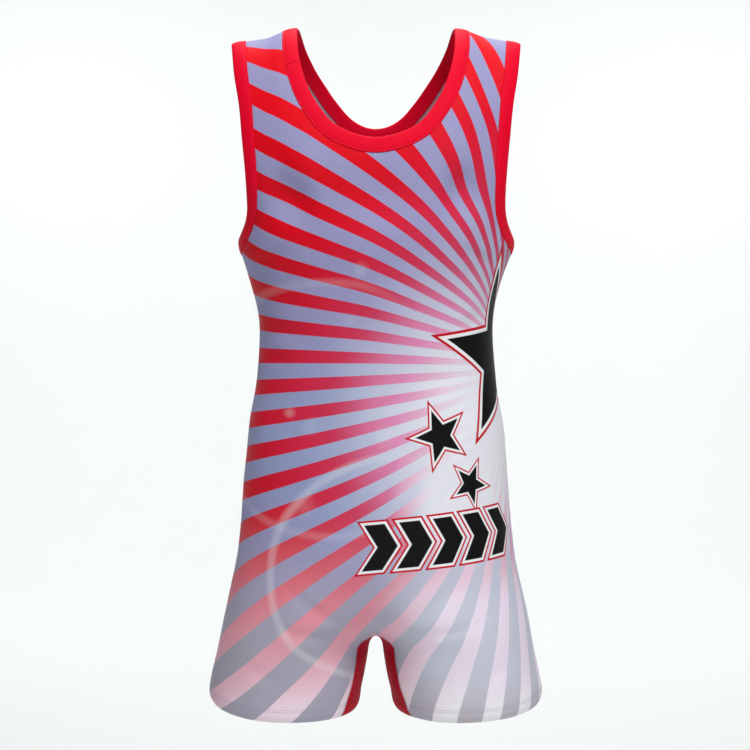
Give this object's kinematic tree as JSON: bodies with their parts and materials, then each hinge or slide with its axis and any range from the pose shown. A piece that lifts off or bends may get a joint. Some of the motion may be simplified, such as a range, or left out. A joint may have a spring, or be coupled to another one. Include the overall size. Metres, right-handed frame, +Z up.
{
  "type": "wrestling singlet",
  "caption": "Sleeveless one-piece wrestling singlet with short legs, scoop neck and bound edges, hollow and filled out as worn.",
  "frame": {"origin": "midway between the two straps, level with the inner face of their tops, where the wearer's shoulders hold the garment", "axes": "+Z up along the body, the front faces -Y, the wearer's left is +X"},
  "size_m": [0.4282, 0.2396, 0.8516],
  "materials": {
    "printed_knit": "matte satin polyester and elastane knit, printed with red and grey-lilac rays",
    "binding_knit": "matte satin red knit, folded binding",
    "gusset_knit": "matte satin crimson knit"
  },
  "bodies": {
    "root": {"front_panel": "printed_knit", "back_panel": "printed_knit", "leg_gusset": "gusset_knit", "neck_binding": "binding_knit", "armhole_binding_left": "binding_knit", "armhole_binding_right": "binding_knit"}
  },
  "joints": []
}
